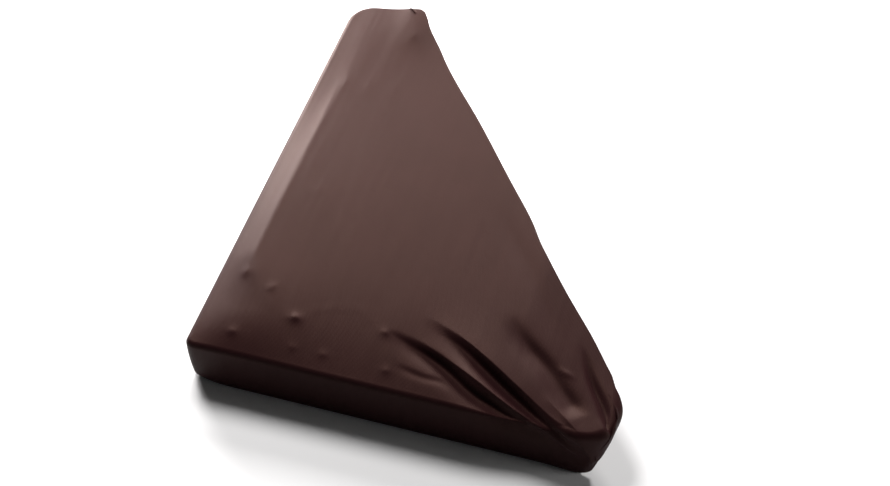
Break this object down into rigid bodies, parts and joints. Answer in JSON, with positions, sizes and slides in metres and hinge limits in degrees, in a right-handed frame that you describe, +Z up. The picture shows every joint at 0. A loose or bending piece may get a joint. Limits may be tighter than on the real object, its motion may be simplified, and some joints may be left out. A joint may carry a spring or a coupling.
{
  "type": "audio mixer cover",
  "caption": "Fitted stretch-cloth cover for a desk-top audio mixer, pulled over its front and left side, with an elastic hem that slants across the top and turns under the bottom edge.",
  "frame": {"origin": "on the underside of the cloth's sloping top, near its middle, where the thing that wears the cover holds it up", "axes": "+X to the right along the front edge, +Y from the front edge to the back edge, +Z up; the bottom edge lies in one horizontal plane"},
  "size_m": [0.3968, 0.474, 0.1141],
  "materials": {
    "stretch_cloth": "satin"
  },
  "bodies": {
    "root": {"cover": "stretch_cloth"}
  },
  "joints": []
}
